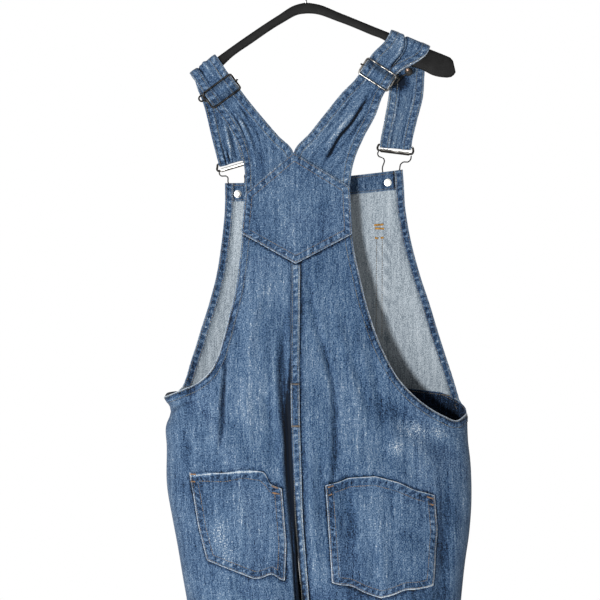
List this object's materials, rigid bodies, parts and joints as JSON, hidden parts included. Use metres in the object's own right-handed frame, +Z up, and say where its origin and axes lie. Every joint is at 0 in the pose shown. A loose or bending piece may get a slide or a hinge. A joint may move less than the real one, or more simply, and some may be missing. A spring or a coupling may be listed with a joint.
{
  "type": "denim dungarees on a hanger",
  "caption": "Bib dungarees in washed denim hanging by their wide straps on a dark coat hanger, seen from the back, with patch pockets, wire slides and hook buckles.",
  "frame": {"origin": "inside top of the hanger's hook, where it hangs on a rail", "axes": "+Z up, -Y out of the garment's back, +Y out of the bib, +X to the right as seen from behind"},
  "size_m": [0.4299, 0.1438, 1.697],
  "materials": {
    "denim": "washed indigo twill, matt, faded along the seams and folds",
    "blackened_wire": "blackened steel wire, worn bright on the edges",
    "silver_metal": "satin nickel plate",
    "hanger_plastic": "matt moulded charcoal plastic",
    "hook_steel": "bright plated wire"
  },
  "bodies": {
    "root": {"back_left": "denim", "back_right": "denim", "back_yoke": "denim", "centre_back_strip": "denim", "back_loop": "denim", "back_pocket_left": "denim", "back_pocket_right": "denim", "armhole_hem_left": "denim", "armhole_hem_right": "denim", "front_left": "denim", "front_right": "denim", "leg_hem_left": "denim", "leg_hem_right": "denim", "waistband": "denim", "bib": "denim", "bib_hem_left": "denim", "bib_hem_right": "denim", "bib_top_facing": "denim", "bib_pocket": "denim", "strap_left": "denim", "strap_right": "denim", "slide_left": "blackened_wire", "slide_right": "blackened_wire", "slide_bar_left": "blackened_wire", "slide_bar_right": "blackened_wire", "buckle_frame_left": "blackened_wire", "buckle_frame_right": "blackened_wire", "buckle_bar_left": "silver_metal", "buckle_bar_right": "silver_metal", "hook_wire_left": "blackened_wire", "hook_wire_right": "blackened_wire", "bib_button_left": "silver_metal", "bib_button_right": "silver_metal", "bib_rivet_left": "silver_metal", "bib_rivet_right": "silver_metal", "hanger_arms": "hanger_plastic", "hanger_hook": "hook_steel"}
  },
  "joints": []
}
